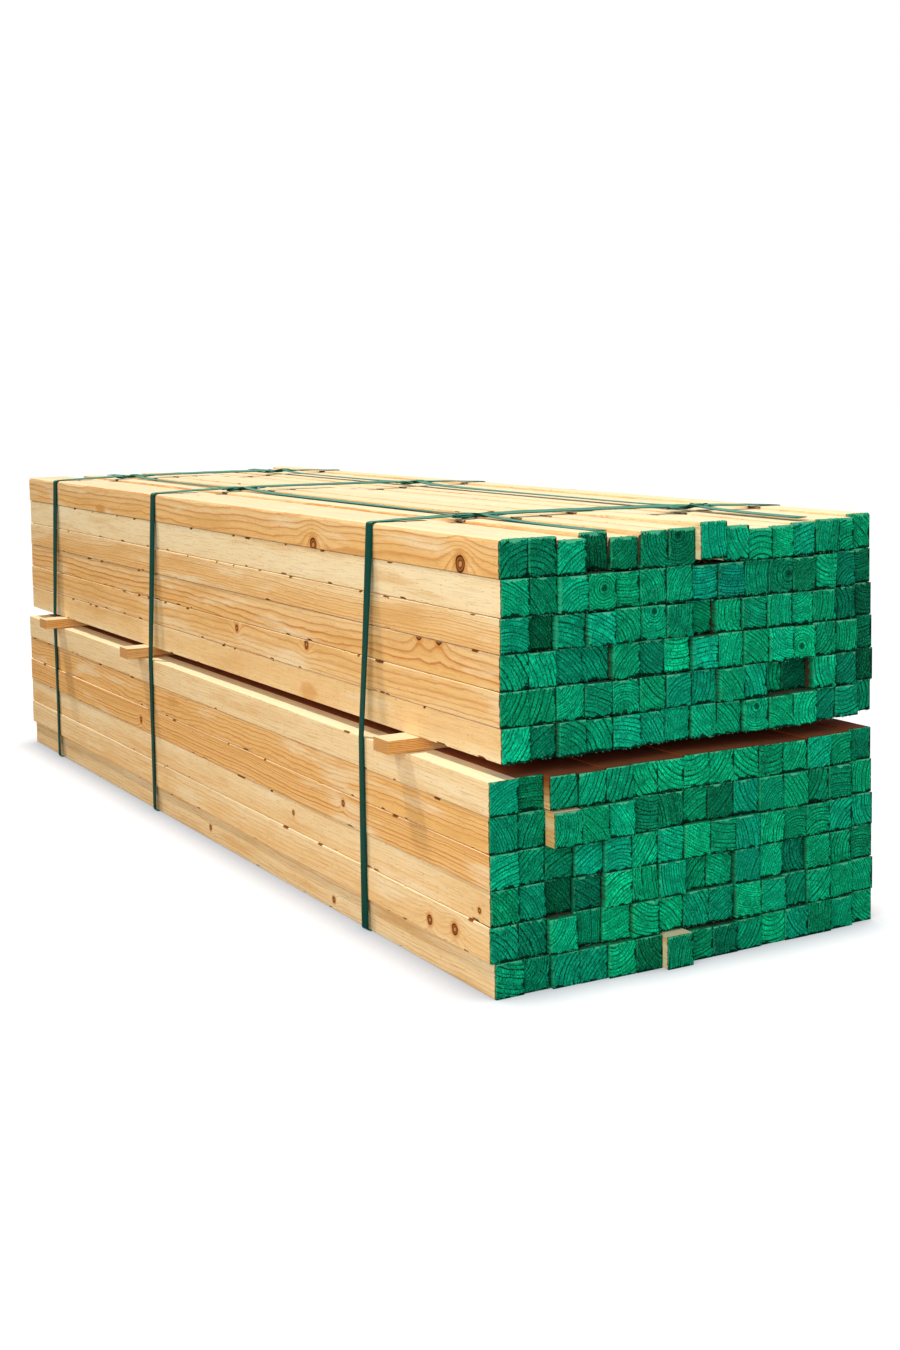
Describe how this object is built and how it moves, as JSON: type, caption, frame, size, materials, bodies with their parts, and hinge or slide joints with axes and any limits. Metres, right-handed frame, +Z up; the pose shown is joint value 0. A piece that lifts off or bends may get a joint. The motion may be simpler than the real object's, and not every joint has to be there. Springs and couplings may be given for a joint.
{
  "type": "bundle of pine studs",
  "caption": "Stacked packs of square sawn pine studs with green painted ends, kept apart by spacer sticks and held together with plastic strapping.",
  "frame": {"origin": "middle of the underside, at the centre of the bundle's bounding box seen from above", "axes": "+X along the studs towards the painted ends, +Y across the bundle from the front face, past which the spacers stand out, to the back, +Z up"},
  "size_m": [2.1596, 0.7332, 0.6312],
  "materials": {
    "pine": "sawn and dried softwood, matte; ends at +X painted green",
    "spacer_pine": "sawn softwood, matte",
    "strapping": "dark green embossed polyester strap, satin"
  },
  "bodies": {
    "root": {"upper_row_1": "pine", "upper_row_2": "pine", "upper_row_3": "pine", "upper_row_4": "pine", "upper_row_5": "pine", "upper_row_6": "pine", "lower_row_1": "pine", "lower_row_2": "pine", "lower_row_3": "pine", "lower_row_4": "pine", "lower_row_5": "pine", "lower_row_6": "pine", "spacer_1": "spacer_pine", "spacer_2": "spacer_pine", "spacer_3": "spacer_pine", "cross_strap_1": "strapping", "cross_strap_2": "strapping", "cross_strap_3": "strapping", "tie_strap_1": "strapping", "tie_strap_2": "strapping"}
  },
  "joints": []
}
